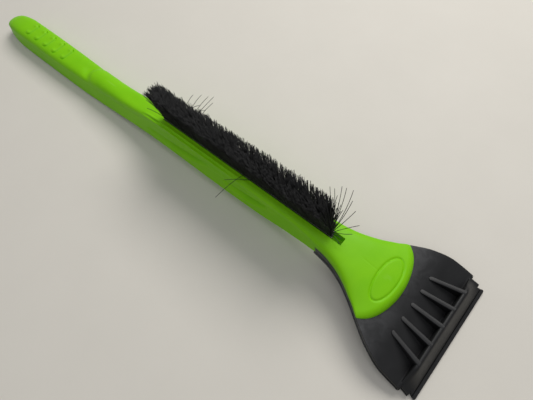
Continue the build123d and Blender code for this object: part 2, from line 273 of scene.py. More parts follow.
class Paint:
    """A material being made: its node tree, its shader and the patterns that feed it."""

    def __init__(self, name: str) -> None:
        """Starts a material of that name with nothing but its shader and output."""
        self.material = bpy.data.materials.new(name)
        self.material.use_nodes = True
        self.tree = self.material.node_tree
        self.tree.nodes.clear()
        self.shader = self.tree.nodes.new("ShaderNodeBsdfPrincipled")
        output = self.tree.nodes.new("ShaderNodeOutputMaterial")
        self.tree.links.new(self.shader.outputs["BSDF"], output.inputs["Surface"])
        self.place = self.node("ShaderNodeTexCoord", {}, {}, "Object")

    def node(
        self,
        kind: str,
        settings: dict[str, object],
        inputs: dict[str | int, "Wire | float | tuple[float, ...]"],
        output: str | int = 0,
    ) -> Wire:
        """Adds a node.

        Args:
            kind: The node's type.
            settings: Its properties, which are set first.
            inputs: Its sockets' values or links, by name or number.
            output: The output that is wanted.

        Returns:
            That output.
        """
        made = self.tree.nodes.new(kind)
        for name, value in settings.items():
            setattr(made, name, value)
        for key, value in inputs.items():
            self.feed(made.inputs[key], value)
        return Wire(self, made.outputs[output])

    def feed(self, socket: bpy.types.NodeSocket, value: "Wire | float | tuple[float, ...]") -> None:
        """Links a wire to a socket, or sets the socket to a number or colour."""
        if isinstance(value, Wire):
            self.tree.links.new(value.socket, socket)
        else:
            socket.default_value = value

    def dress(self, inputs: dict[str, "Wire | float | tuple[float, ...]"]) -> None:
        """Sets or links the shader's own sockets."""
        for name, value in inputs.items():
            self.feed(self.shader.inputs[name], value)

    def stretched(self, scale: tuple[float, float, float], turn: float = 0.0) -> Wire:
        """Object coordinates scaled along each axis, and turned about Z by turn radians."""
        inputs = {"Vector": self.place, "Scale": scale, "Rotation": (0.0, 0.0, turn)}
        return self.node("ShaderNodeMapping", {"vector_type": "POINT"}, inputs)

    def noise(
        self,
        scale: float,
        detail: float = 3.0,
        roughness: float = 0.5,
        vector: Wire | None = None,
        distortion: float = 0.0,
    ) -> Wire:
        """Cloudy pattern from 0 to 1.

        Args:
            scale: Lumps in a metre.
            detail: How many finer layers it has.
            roughness: How strong the finer layers are.
            vector: Where it is read, by default at the object coordinates.
            distortion: How much it is stirred.

        Returns:
            The pattern.
        """
        inputs = {
            "Vector": vector or self.place,
            "Scale": scale,
            "Detail": detail,
            "Roughness": roughness,
            "Distortion": distortion,
        }
        return self.node("ShaderNodeTexNoise", {}, inputs, "Fac")

    def cells(self, scale: float, feature: str = "F1", output: str = "Distance") -> Wire:
        """Voronoi pattern with that many cells in a metre."""
        inputs = {"Vector": self.place, "Scale": scale}
        return self.node("ShaderNodeTexVoronoi", {"feature": feature}, inputs, output)

    def axis(self, name: str) -> Wire:
        """One object coordinate, in metres: X, Y or Z."""
        return self.node("ShaderNodeSeparateXYZ", {}, {0: self.place}, name)

    def mixed(self, amount: Wire | float, first: "Wire | tuple", second: "Wire | tuple") -> Wire:
        """Colour between first at amount 0 and second at amount 1."""
        inputs = {"Factor": amount, 6: first, 7: second}
        return self.node("ShaderNodeMix", {"data_type": "RGBA"}, inputs, 2)

    def relief(self, height: Wire, depth: float, normal: Wire | None = None) -> Wire:
        """Bumped normal.

        Args:
            height: The relief's height, from 0 to 1.
            depth: What 1 stands for, in metres.
            normal: The normal that it is laid over, if it isn't the first.

        Returns:
            The normal.
        """
        inputs = {"Height": height, "Distance": depth, "Strength": 1.0}
        if normal is not None:
            inputs["Normal"] = normal
        return self.node("ShaderNodeBump", {}, inputs)


def colour(red: float, green: float, blue: float) -> tuple[float, float, float, float]:
    """Linear colour with full alpha."""
    return (red, green, blue, 1.0)


@dataclass(frozen=True)
class MouldedPlastic:
    """Injection-moulded plastic with a fine grain, cloudy pigment and light handling wear.

    With edge_wear the blade's edge is scuffed too. A pale colour is painted over a band that grows from
    the ribs towards the hood: its even part is painted sheen, and its blotches are partly a mottle in the
    plastic and partly painted sheen.
    """

    name: str
    body: tuple[float, float, float, float]
    pale: tuple[float, float, float, float]
    scuffed: tuple[float, float, float, float]
    gloss_low: float
    gloss_high: float
    grain_scale: float = 2600.0
    grain_depth: float = 0.00002
    wave_scale: float = 55.0
    wave_depth: float = 0.00012
    scuff_amount: float = 0.35
    edge_wear: bool = False
    # Pale colour painted towards the hood: an even painted sheen, and blotches that are partly painted sheen
    # and partly the plastic's mottle.
    sheen_and_bloom_colour: tuple[float, float, float, float] | None = None
    sheen_and_bloom_reach: tuple[float, float] = (34.0, 66.0)
    painted_sheen_even: float = 0.30
    sheen_and_bloom_blotchy: float = 0.62
    worn_reach: tuple[float, float] = (4.2, 1.5)
    specular: float = 0.5

    def build(self) -> bpy.types.Material:
        """Makes the material.

        Returns:
            The finished material.
        """
        paint = Paint(self.name)
        clouds = paint.noise(38.0, 4.0, 0.55, distortion=0.6)
        flow = paint.noise(9.0, 3.0, 0.5, vector=paint.stretched((0.35, 1.6, 1.0)))
        grain = paint.noise(self.grain_scale, 2.0, 0.6)
        pits = paint.cells(self.grain_scale * 0.55)
        long_way = paint.noise(240.0, 2.0, 0.55, vector=paint.stretched((0.05, 1.0, 1.0), 0.25))
        cross_way = paint.noise(300.0, 2.0, 0.55, vector=paint.stretched((1.0, 0.06, 1.0), -0.2))
        patches = paint.noise(26.0, 3.0, 0.6).band(0.52, 0.72)
        scratches = (long_way.band(0.63, 0.69) + cross_way.band(0.66, 0.71)).clamped() * patches
        if self.edge_wear:
            edge = paint.axis("X").band(*((BLADE_X - reach) * MM for reach in self.worn_reach))
            chatter = paint.noise(900.0, 3.0, 0.6, vector=paint.stretched((0.25, 1.0, 1.0)))
            scratches = (scratches + edge * chatter.band(0.35, 0.75)).clamped()
        tone = paint.mixed((clouds * 0.6 + flow * 0.4).band(0.3, 0.7), self.body, self.pale)
        # Painted sheen: paler towards the hood and darker towards the bar, evenly and in blotches that are
        # partly the plastic's own mottle.
        if self.sheen_and_bloom_colour is not None:
            sheen_and_bloom_band = paint.axis("X").band(*((BLADE_X - reach) * MM for reach in self.sheen_and_bloom_reach))
            blotches = paint.noise(95.0, 4.0, 0.6, distortion=0.9).band(0.34, 0.68)
            tone = paint.mixed(sheen_and_bloom_band * (blotches * self.sheen_and_bloom_blotchy + self.painted_sheen_even), tone, self.sheen_and_bloom_colour)
        base = paint.mixed(scratches * self.scuff_amount, tone, self.scuffed)
        smear = paint.noise(60.0, 4.0, 0.65, distortion=1.2)
        rough = self.gloss_low + (self.gloss_high - self.gloss_low) * (smear * 0.7 + grain * 0.3)
        skin = paint.relief(grain * 0.65 + pits * 0.35, self.grain_depth)
        scored = paint.relief(1.0 - scratches, 0.00003, skin)
        wavy = paint.relief(paint.noise(self.wave_scale, 2.0, 0.4), self.wave_depth, scored)
        paint.dress(
            {
                "Base Color": base,
                "Roughness": (rough + scratches * 0.18).clamped(),
                "Normal": wavy,
                "Specular IOR Level": self.specular,
                "IOR": 1.49,
            }
        )
        return paint.material


@dataclass(frozen=True)
class PlatedSteel:
    """Zinc-coated steel: bright crystals of uneven gloss with a few dull stains."""

    name: str
    bright: tuple[float, float, float, float]
    dull: tuple[float, float, float, float]
    crystal_scale: float
    gloss_low: float
    gloss_high: float

    def build(self) -> bpy.types.Material:
        """Makes the material.

        Returns:
            The finished material.
        """
        paint = Paint(self.name)
        crystals = paint.node(
            "ShaderNodeSeparateColor", {}, {0: paint.cells(self.crystal_scale, "F1", "Color")}, "Red"
        )
        stains = paint.noise(70.0, 4.0, 0.6).band(0.5, 0.75)
        drawn = paint.noise(500.0, 2.0, 0.6, vector=paint.stretched((0.06, 1.0, 1.0)))
        base = paint.mixed((crystals * 0.5 + stains * 0.5).clamped(), self.bright, self.dull)
        rough = self.gloss_low + (self.gloss_high - self.gloss_low) * (crystals * 0.5 + stains * 0.5)
        paint.dress(
            {
                "Base Color": base,
                "Metallic": 1.0,
                "Roughness": rough,
                "Normal": paint.relief(drawn * 0.7 + crystals * 0.3, 0.00002),
            }
        )
        return paint.material


@dataclass(frozen=True)
class Filament:
    """Extruded brush filament: near black, satin, a little greyer and duller towards its worn tip."""

    name: str
    fresh: tuple[float, float, float, float]
    worn: tuple[float, float, float, float]
    gloss_low: float
    gloss_high: float
    specular: float = 0.20

    def build(self) -> bpy.types.Material:
        """Makes the material.

        It reads how far along its filament a point is, and its filament's own tone.

        Returns:
            The finished material.
        """
        paint = Paint(self.name)
        along = paint.node("ShaderNodeAttribute", {"attribute_name": "along"}, {}, "Fac")
        own = paint.node("ShaderNodeAttribute", {"attribute_name": "own_tone"}, {}, "Fac")
        dust = paint.noise(1500.0, 2.0, 0.6)
        wear = (along.band(0.75, 1.0) * 0.35 + own * 0.5 + dust * 0.15).clamped()
        paint.dress(
            {
                "Base Color": paint.mixed(wear, self.fresh, self.worn),
                "Roughness": (self.gloss_low + (self.gloss_high - self.gloss_low) * wear).clamped(),
                "Normal": paint.relief(dust, 0.00002),
                "Specular IOR Level": self.specular,
            }
        )
        return paint.material


@dataclass(frozen=True)
class TableTop:
    """Pale matt laminate with a faint mottle."""

    name: str
    light: tuple[float, float, float, float]
    dark: tuple[float, float, float, float]

    def build(self) -> bpy.types.Material:
        """Makes the material.

        Returns:
            The finished material.
        """
        paint = Paint(self.name)
        mottle = paint.noise(14.0, 5.0, 0.6)
        grain = paint.noise(900.0, 2.0, 0.6)
        paint.dress(
            {
                "Base Color": paint.mixed(mottle * 0.7 + grain * 0.3, self.light, self.dark),
                "Roughness": 0.62 + 0.1 * mottle,
                "Normal": paint.relief(grain, 0.00002),
                "Specular IOR Level": 0.35,
            }
        )
        return paint.material


class Finish(Enum):
    """The finishes of the tool and its table."""

    GREEN = MouldedPlastic(
        name="green_polypropylene",
        body=colour(0.186, 0.535, 0.0008),
        pale=colour(0.216, 0.575, 0.002),
        scuffed=colour(0.290, 0.610, 0.060),
        gloss_low=0.40,
        gloss_high=0.58,
        specular=0.19,
    )
    BLACK = MouldedPlastic(
        name="black_polypropylene",
        body=colour(0.0050, 0.0050, 0.0054),
        pale=colour(0.0105, 0.0106, 0.0112),
        scuffed=colour(0.0300, 0.0300, 0.0305),
        gloss_low=0.38,
        gloss_high=0.58,
        scuff_amount=0.30,
        edge_wear=True,
        # Pale colour painted towards the hood: partly painted sheen, partly a blotchy mottle in the plastic.
        sheen_and_bloom_colour=colour(0.0600, 0.0605, 0.0630),
        specular=0.40,
    )
    ZINC_SCREW = PlatedSteel(
        name="zinc_plated_screw",
        bright=colour(0.62, 0.62, 0.60),
        dull=colour(0.42, 0.42, 0.40),
        crystal_scale=2200.0,
        gloss_low=0.24,
        gloss_high=0.42,
    )
    GALVANISED = PlatedSteel(
        name="galvanised_strip",
        bright=colour(0.58, 0.58, 0.60),
        dull=colour(0.36, 0.36, 0.39),
        crystal_scale=650.0,
        gloss_low=0.28,
        gloss_high=0.52,
    )
    BRISTLE = Filament(
        name="black_filament",
        fresh=colour(0.0014, 0.0014, 0.0016),
        worn=colour(0.0052, 0.0054, 0.0060),
        gloss_low=0.42,
        gloss_high=0.66,
    )
    TABLE = TableTop(
        name="pale_table",
        light=colour(0.672, 0.640, 0.575),
        dark=colour(0.615, 0.585, 0.525),
    )

    def material(self) -> bpy.types.Material:
        """The finish's material, made when it is first asked for."""
        return bpy.data.materials.get(self.value.name) or self.value.build()


def make_piece(
    name: str,
    shell: Shell,
    finish: Finish,
    replaces: tuple[str, ...] = (),
    crease: float = 38.0,
) -> bpy.types.Object:
    """Turns a shell into a finished piece that rides on the tool.

    Args:
        name: The piece's name.
        shell: Its surface, in millimetres.
        finish: What it is made of.
        replaces: The frame's nodes that it stands for.
        crease: Angle in degrees above which an edge is crisp.

    Returns:
        The object.
    """
    mesh = bpy.data.meshes.new(name)
    faces = shell.quads.tolist() + shell.tris.tolist()
    mesh.from_pydata((shell.points * MM).tolist(), [], faces)
    mesh.polygons.foreach_set("use_smooth", np.ones(len(mesh.polygons), bool))
    mesh.set_sharp_from_angle(angle=math.radians(crease))
    mesh.materials.append(finish.material())
    mesh.validate()
    piece = bpy.data.objects.new(name, mesh)
    bpy.context.scene.collection.objects.link(piece)
    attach(piece, BODY)
    if replaces:
        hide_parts(*replaces)
    LOG.info("%s: %d points, %d faces", name, len(mesh.vertices), len(mesh.polygons))
    return piece


# ---------------------------------------------------------------------------- scraper head's shape


@dataclass
class HeadForm:
    """The outline and heights of the scraper head, which the hood above it also follows."""

    joint_reach: float = 127.0
    outline_reach: list[float] = field(
        default_factory=lambda: [127.0, 112.0, 98.0, 82.0, 66.0, 50.0, 32.0, 14.0]
    )
    outline_half: list[float] = field(
        default_factory=lambda: [14.6, 17.0, 21.7, 30.2, 40.6, 49.8, 55.9, 57.2]
    )
    top_reach: list[float] = field(
        default_factory=lambda: [127.0, 102.0, 82.0, 66.0, 50.0, 32.0, 15.0, 3.3, 0.0]
    )
    top_height: list[float] = field(
        default_factory=lambda: [33.4, 31.9, 29.8, 27.2, 23.2, 16.8, 10.2, 3.5, 2.6]
    )
    under_reach: list[float] = field(
        default_factory=lambda: [127.0, 100.0, 78.0, 58.0, 37.0, 18.0, 2.0, 0.0]
    )
    under_height: list[float] = field(
        default_factory=lambda: [21.9, 22.4, 20.6, 16.6, 11.0, 4.6, 0.0, 0.0]
    )

    def half_width(self, reach: np.ndarray) -> np.ndarray:
        """Half width of the head's outline, behind its teeth."""
        return eased(reach, self.outline_reach, self.outline_half)

    def top(self, reach: np.ndarray) -> np.ndarray:
        """Height of the plate's top."""
        return eased(reach, self.top_reach, self.top_height)

    def under(self, reach: np.ndarray) -> np.ndarray:
        """Height of the lower edge of the head's side wall."""
        return eased(reach, self.under_reach, self.under_height)


# ---------------------------------------------------------------------------- handle


@dataclass
class Handle:
    """The green moulding: grip, thumb rise, brush beam with its slot, and the hood over the head.

    Its surface is a grid. A row is a section across the tool at one reach, and in the hood the rows bow
    forward until the last one is the hood's front edge. A column is one place round the section: along
    the bottom, round the lower corner, up the side, over the crown, and down into the brush slot.
    """

    head: HeadForm
    reach: list[float] = field(
        default_factory=lambda: [
            614.0, 612.0, 606.0, 594.0, 574.0, 540.0, 490.0, 456.0, 425.0, 395.0, 360.0, 330.0, 300.0,
            240.0, 190.0, 160.0, 140.0, 127.0, 120.0, 106.0, 92.0, 78.0, 64.0, 51.0,
        ]
    )
    base_height: list[float] = field(
        default_factory=lambda: [
            8.0, 5.0, 2.0, 0.2, 0.0, 0.0, 0.0, 0.0, 1.2, 3.8, 8.0, 10.6, 11.4,
            11.6, 13.4, 16.6, 19.5, 23.0, 28.0, 30.6, 30.9, 29.3, 26.9, 23.5,
        ]
    )
    base_half: list[float] = field(
        default_factory=lambda: [
            2.6, 6.6, 11.0, 13.8, 15.7, 16.0, 16.0, 15.8, 15.0, 14.5, 14.2, 14.2, 14.3,
            14.3, 13.9, 13.3, 13.6, 14.6, 14.9, 18.1, 24.0, 32.2, 40.0, 40.0,
        ]
    )
    shoulder_height: list[float] = field(
        default_factory=lambda: [
            10.5, 11.5, 14.5, 16.5, 18.0, 18.5, 18.5, 18.5, 19.4, 21.6, 26.6, 33.2, 36.5,
            36.5, 36.5, 36.5, 36.0, 35.2, 34.8, 33.6, 32.3, 30.6, 28.4, 25.0,
        ]
    )
    shoulder_half: list[float] = field(
        default_factory=lambda: [
            2.4, 6.2, 9.8, 12.4, 14.0, 14.0, 13.6, 12.8, 11.8, 11.0, 10.8, 10.8, 11.0,
            11.0, 10.8, 11.0, 12.2, 14.0, 14.7, 17.9, 23.8, 32.0, 39.8, 39.8,
        ]
    )
    crown_height: list[float] = field(
        default_factory=lambda: [
            12.5, 15.3, 18.8, 23.1, 25.4, 25.5, 25.5, 25.5, 27.6, 30.0, 34.9, 41.4, 43.5,
            43.5, 43.5, 43.5, 43.5, 43.5, 43.4, 42.6, 40.6, 37.6, 34.2, 30.6,
        ]
    )
    crown_boxiness_reach: list[float] = field(
        default_factory=lambda: [614.0, 574.0, 456.0, 400.0, 340.0, 310.0, 160.0, 127.0, 95.0, 51.0]
    )
    crown_boxiness: list[float] = field(
        default_factory=lambda: [2.2, 2.6, 2.6, 3.0, 4.2, 5.4, 5.4, 3.6, 2.9, 2.9]
    )
    corner_radius: float = 3.2
    slot_half: float = 3.65
    slot_depth: float = 9.0
    slot_start: float = 318.5
    slot_end: float = 110.0
    hood_front: float = 51.2
    hood_bow: float = 16.8
    hood_bow_start: float = 104.0
    front_round: float = 5.6
    hood_inset: float = 1.3
    hood_buried: float = 1.1
    hood_sunk: float = 0.3
    bead_angles: tuple[float, float] = (0.96, 0.66)
    bead_width: float = 0.075
    bead_height: float = 0.85
    line_angle: float = 0.81
    line_width: float = 0.07
    line_depth: float = 0.55
    thumb_reach: float = 446.0
    thumb_curve: float = 0.055
    thumb_height: float = 2.9
    thumb_dip: float = 1.7
    groove_first: float = 556.7
    groove_pitch: float = 17.0
    groove_count: int = 5
    groove_depth: float = 1.7
    groove_width: float = 1.0
    groove_half: float = 9.8
    hook_start: float = 5.0
    hook_length: float = 4.0
    hook_side: float = 4.5
    pip_side: float = 7.0
    pip_height: float = 0.9
    oval_reach: float = 66.5
    oval_half_long: float = 21.0
    oval_half_wide: float = 8.5
    oval_groove: float = 0.75
    oval_depth: float = 0.85
    scoops: tuple[tuple[float, float, float], ...] = ((297.0, 45.0, 28.6), (208.0, 27.0, 31.2))
    scoop_depth: float = 4.9
    scoop_rise: float = 0.125
    scoop_height: float = 10.5
    flank_step: float = 0.5
    hang_reach: float = 604.0
    hang_height: float = 11.0
    hang_radius: float = 3.5
    hang_flare: float = 1.1

    def rows(self) -> tuple[np.ndarray, np.ndarray]:
        """Where the grid's rows are.

        Returns:
            Each row's reach on the middle plane, and whether the row cuts the brush slot. A slot end has
            two rows at one place, so that its wall is upright.
        """
        reach = np.concatenate(
            [
                GRIP_END - np.array([0.0, 0.15, 0.5, 1.1, 2.0, 3.2, 4.8, 6.8, 9.2, 12.0, 15.0]),
                np.linspace(596.0, 572.0, 14, endpoint=False),
                np.linspace(572.0, 482.0, 164, endpoint=False),
                np.linspace(482.0, 400.0, 48, endpoint=False),
                np.linspace(400.0, self.slot_start, 32, endpoint=False),
                [self.slot_start, self.slot_start],
                np.linspace(317.5, 130.0, 138),
                [self.head.joint_reach, self.head.joint_reach],
                np.linspace(125.0, self.slot_end, 12, endpoint=False),
                [self.slot_end, self.slot_end],
                np.linspace(109.3, 80.0, 30, endpoint=False),
                np.linspace(80.0, 57.5, 46, endpoint=False),
                self.hood_front + self.front_round * (1 - np.sin(np.linspace(0.0, 1.0, 14) * math.pi / 2)),
            ]
        )
        number = np.arange(len(reach))
        first = np.flatnonzero(reach == self.slot_start)[1]
        last = np.flatnonzero(reach == self.slot_end)[0]
        return reach, (number >= first) & (number <= last)

    def section_columns(self) -> dict[str, np.ndarray]:
        """Numbers from 0 to 1 that place the columns of half a section in each of its stretches."""
        return {
            "bottom": np.linspace(0.0, 1.0, 4, endpoint=False),
            "corner": np.linspace(0.0, 1.0, 6, endpoint=False),
            "side": np.linspace(0.0, 1.0, 28, endpoint=False),
            "crown": joined_steps((0.0, 0.40, 10), (0.40, 1.0, 42)),
            "slot": np.array([0.0, 0.14, 0.32, 0.52, 0.72, 0.88, 1.0]),
        }

    def surface(self) -> Shell:
        """Works out the whole grid.

        Returns:
            The closed shell.
        """
        middle, in_slot = self.rows()
        cut = in_slot[:, None]
        in_hood = np.arange(len(middle)) > np.flatnonzero(middle == self.head.joint_reach)[0]
        bow = self.hood_bow * ramp(middle, self.hood_bow_start, self.hood_front) ** 0.9 * in_hood
        edge = middle + bow
        half = self._half_sections(middle, edge, bow, cut, in_hood)
        mirrored = half[:, -2:0:-1] * np.array([1.0, -1.0, 1.0])
        rings = np.concatenate([half, mirrored], axis=1)
        rings[..., 0] = BLADE_X - rings[..., 0]
        return closed_sweep(rings)

    def _half_sections(
        self, middle: np.ndarray, edge: np.ndarray, bow: np.ndarray, cut: np.ndarray, in_hood: np.ndarray
    ) -> np.ndarray:
        """Works out one side of every section.

        Formula: the bottom is level, its corner is a quarter ellipse, the side is a straight line from
        the corner to the shoulder, and the crown is a superellipse from the shoulder to the top:
        (y / half width)^p + (z above the shoulder / crown's height)^p = 1.

        Args:
            middle: Each row's reach on the middle plane.
            edge: Each row's reach at its widest.
            bow: How much further back a row is at its edge than at its middle.
            cut: Whether a row cuts the slot, as a column.
            in_hood: Whether a row is part of the hood.

        Returns:
            Array of shape (rows, columns, 3): reach, y and z.
        """
        part = self.section_columns()
        low = eased(edge, self.reach, self.base_height)[:, None]
        low_half = eased(edge, self.reach, self.base_half)[:, None]
        shoulder = eased(edge, self.reach, self.shoulder_height)[:, None]
        wide = eased(edge, self.reach, self.shoulder_half)[:, None]
        top = eased(middle, self.reach, self.crown_height)[:, None]
        power = eased(middle, self.crown_boxiness_reach, self.crown_boxiness)[:, None]
        hood = in_hood[:, None]
        round_off = np.minimum(self.corner_radius, 0.45 * low_half)
        lift = np.minimum(round_off, 0.4 * (shoulder - low))

        # The hood stands on the plate, so there the bottom and its corner lie hidden inside the plate.
        plate = self.head.top(edge)[:, None]
        inset, buried, sunk = self.hood_inset, self.hood_buried, self.hood_sunk
        y_bottom = part["bottom"] * np.where(hood, low_half - inset, low_half - round_off)
        z_bottom = np.where(hood, plate - buried, low) + 0 * y_bottom
        turn = part["corner"] * math.pi / 2
        y_corner = low_half - round_off + round_off * np.sin(turn)
        z_corner = low + lift * (1 - np.cos(turn))
        y_corner = np.where(hood, low_half - inset + inset * ramp(part["corner"], 0.4, 1.0), y_corner)
        inner = plate - buried + (low - sunk - plate + buried) * ramp(part["corner"], 0.0, 0.5)
        z_corner = np.where(hood, inner, z_corner)
        rise = part["side"]
        foot = np.where(hood, low - sunk, low + lift)
        y_side = low_half + (wide - low_half) * rise
        z_side = foot + (shoulder - foot) * rise

        # Crown: the angle runs up to where the slot's wall stands, and points are spread by angle.
        reach_in = np.clip(self.slot_half / wide, 0.05, 0.92)
        last_angle = np.arctan((reach_in**-power - 1) ** (1 / power))
        angle = part["crown"] * last_angle
        radius = (np.cos(angle) ** power + np.sin(angle) ** power) ** (-1 / power)
        y_crown = wide * radius * np.cos(angle)
        z_crown = shoulder + (top - shoulder) * radius * np.sin(angle)
        y_crown, z_crown = self._ridge_line(middle[:, None], angle, y_crown, z_crown)
        lip = wide * reach_in
        y_open = lip * (1 - part["slot"])
        z_open = shoulder + (top - shoulder) * (1 - (y_open / wide) ** power) ** (1 / power)
        slot_y = np.where(part["slot"] < 0.5, 1.0, 1 - (part["slot"] - 0.52) / 0.48) * self.slot_half
        slot_z = top - self.slot_depth * np.clip(part["slot"] / 0.52, 0.0, 1.0)
        slot_z[:, 0] = z_open[:, 0]
        y_slot = np.where(cut, slot_y, y_open)
        z_slot = np.where(cut, slot_z, z_open)

        y = np.concatenate([y_bottom, y_corner, y_side, y_crown, y_slot], axis=1)
        z = np.concatenate([z_bottom, z_corner, z_side, z_crown, z_slot], axis=1)
        wide_share = y / low_half
        reach = middle[:, None] + bow[:, None] * (0.68 * wide_share**2 + 0.32 * wide_share**8)
        kind = np.concatenate([np.full(len(v), i) for i, v in enumerate(part.values())])
        return self._detailed(reach, y, z, kind, middle, hood & (kind >= 2))

    def _ridge_line(
        self, reach: np.ndarray, angle: np.ndarray, y: np.ndarray, z: np.ndarray
    ) -> tuple[np.ndarray, np.ndarray]:
        """Raises two thin beads along the beam's upper edge, with a shallow line between them.

        Formula: the section's points move out along their own angle by a bell about each bead's angle,
        less a bell about the angle between them, and all of it fades along the beam.

        Args:
            reach: Each row's reach.
            angle: Each point's angle on the crown.
            y: The points' y.
            z: The points' z.

        Returns:
            The moved y and z.
        """
        fade = ramp(reach, 196.0, 250.0) * ramp(reach, 352.0, 326.0)
        beads = sum(hump(angle, place, self.bead_width) for place in self.bead_angles)
        line = hump(angle, self.line_angle, self.line_width)
        out = fade * (self.bead_height * beads - self.line_depth * line)
        return y + out * np.cos(angle), z + out * np.sin(angle)

    def _detailed(
        self,
        reach: np.ndarray,
        y: np.ndarray,
        z: np.ndarray,
        kind: np.ndarray,
        middle: np.ndarray,
        skin: np.ndarray,
    ) -> np.ndarray:
        """Adds the details of the skin.

        They are the hood's rounded front, the finger grooves, the thumb rise, the oval, the crease and
        the scoops.

        Args:
            reach: The points' reach.
            y: Their y.
            z: Their z.
            kind: Which stretch of the section each column belongs to, 0 for the bottom to 4 for the slot.
            middle: Each row's reach on the middle plane.
            skin: Which points are the hood's outer skin.

        Returns:
            Array of shape (rows, columns, 3).
        """
        # Front of the hood: heights above the plate shrink as a quarter circle does.
        along = np.clip((self.hood_front + self.front_round - middle) / self.front_round, 0.0, 1.0)[:, None]
        keep = np.sqrt(np.clip(1 - along**2, 0.0, 1.0))
        seat = self.head.top(reach) - self.hood_sunk
        z = np.where(skin, seat + (np.maximum(z, seat) - seat) * keep, z)
        hidden = np.broadcast_to((kind < 2) & (skin.any(axis=1)[:, None]), z.shape)
        z = np.where(hidden & (along > 0), self.head.top(reach) - self.hood_buried, z)

        top_skin = kind >= 3
        z = z - top_skin * self._finger_grooves(reach, y)
        z = z + top_skin * self._thumb_rise(reach, y)
        z = z - top_skin * self._oval(reach, y)
        crease = hump(y, 0.0, 0.45) * ramp(reach, 93.0, 88.0) * ramp(reach, 73.0, 77.0)
        z = z - top_skin * 0.16 * crease
        flank = (kind == 2) | (kind == 3)
        y = y - flank * self._scoop_cut(reach, z)
        return np.stack([reach, y, z], axis=-1)

    def _finger_grooves(self, reach: np.ndarray, y: np.ndarray) -> np.ndarray:
        """Depth of the finger grooves.

        Formula: each groove is a bell-shaped line across the grip, whose two ends curl towards the
        grip's end by the square of the distance past the curl's start. A small round pip stands up
        inside each curl, which is a negative depth.

        Args:
            reach: The points' reach.
            y: Their y.

        Returns:
            The depth at each point.
        """
        side = np.abs(y)
        curl = self.hook_length * (np.maximum(side - self.hook_start, 0.0) / self.hook_side) ** 2
        depth = np.zeros(np.broadcast(reach, y).shape)
        for number in range(self.groove_count):
            place = self.groove_first - number * self.groove_pitch
            line = hump(reach - place - curl, 0.0, self.groove_width)
            depth += self.groove_depth * line * ramp(side, self.groove_half, self.groove_half - 1.4)
            pip = hump(reach, place + 4.2, 2.2) * hump(side, self.pip_side - 1.0, 2.0)
            depth -= self.pip_height * pip
        return depth

    def _thumb_rise(self, reach: np.ndarray, y: np.ndarray) -> np.ndarray:
        """Height added by the rounded nose of the thumb rise, with the dip before it.

        Formula: inside a parabola that opens towards the blade the surface is lifted by a smooth step of
        the distance from the parabola; before it a bell-shaped dip is taken away.

        Args:
            reach: The points' reach.
            y: Their y.

        Returns:
            The added height at each point.
        """
        inside = self.thumb_reach - reach - self.thumb_curve * y**2
        lobe = self.thumb_height * ramp(inside, -2.0, 8.0) * ramp(reach, 366.0, 432.0) * hump(y, 0.0, 11.5)
        dip = self.thumb_dip * hump(inside, -4.5, 5.5) * hump(y, 0.0, 10.5)
        return lobe - dip

    def _oval(self, reach: np.ndarray, y: np.ndarray) -> np.ndarray:
        """Depth of the oval line round the blank pad.

        Formula: a bell of the distance from the ellipse, which is (e - 1) over the length of e's
        gradient, where e is the square root of the ellipse's two squared ratios.

        Args:
            reach: The points' reach.
            y: Their y.

        Returns:
            The depth at each point.
        """
        a, b = self.oval_half_wide, self.oval_half_long
        x = reach - self.oval_reach
        e = np.sqrt((x / a) ** 2 + (y / b) ** 2) + 1e-9
        gradient = np.sqrt((x / a**2) ** 2 + (y / b**2) ** 2) / e + 1e-9
        distance = (e - 1) / gradient
        return self.oval_depth * hump(distance, 0.0, self.oval_groove) - 0.12 * ramp(distance, -0.4, -1.6)

    def _scoop_cut(self, reach: np.ndarray, z: np.ndarray) -> np.ndarray:
        """Depth of the scoops in the flanks, measured across the tool, and of the flank's step.

        Formula: a scoop is a leaf whose upper edge is straight and climbs towards the head, and whose
        lower edge bulges below it. Its floor drops at the upper edge and comes back to the flank at the
        lower one, evenly at the grip's end and as a narrow ledge that looks upwards towards the head.
        Below the upper edge's line the whole flank steps in and leans in a little further down.

        Args:
            reach: The points' reach.
            z: Their z.

        Returns:
            The depth at each point.
        """
        first, second = self.scoops
        beam = ramp(reach, 158.0, 184.0) * ramp(reach, 352.0, 326.0)
        line = first[2] + (second[2] - first[2]) * ramp(reach, first[0] - 35.0, second[0] + 20.0)
        below = line + 1.0 - z
        step = self.flank_step * beam * (0.45 * ramp(below, 0.0, 1.6) + 0.55 * ramp(below, 0.0, 16.0))
        depth = np.zeros(np.broadcast(reach, z).shape)
        for middle, half, top in self.scoops:
            u = np.clip((reach - middle) / half, -1.0, 1.0)
            tall = np.maximum(self.scoop_height * (1 - u**2) ** 0.6, 0.5)
            edge = top - self.scoop_rise * (reach - middle)
            across = (edge - z) / tall
            climb = 0.42 + 0.5 * ramp(u, -0.1, 0.55)
            along = (1 - u**2) ** 0.55 * (1 - 0.25 * ramp(u, 0.0, 0.7))
            floor = np.clip((1 - across) / climb, 0.0, 1.0) * ramp(edge - z, 0.0, 1.0)
            depth = np.maximum(depth, self.scoop_depth * along * floor)
        return step + depth

    def build(self) -> bpy.types.Object:
        """Makes the moulding and drills its hang hole.

        Returns:
            The object.
        """
        piece = make_piece("handle_moulding", self.surface(), Finish.GREEN, ("handle",))
        self._drill(piece)
        return piece

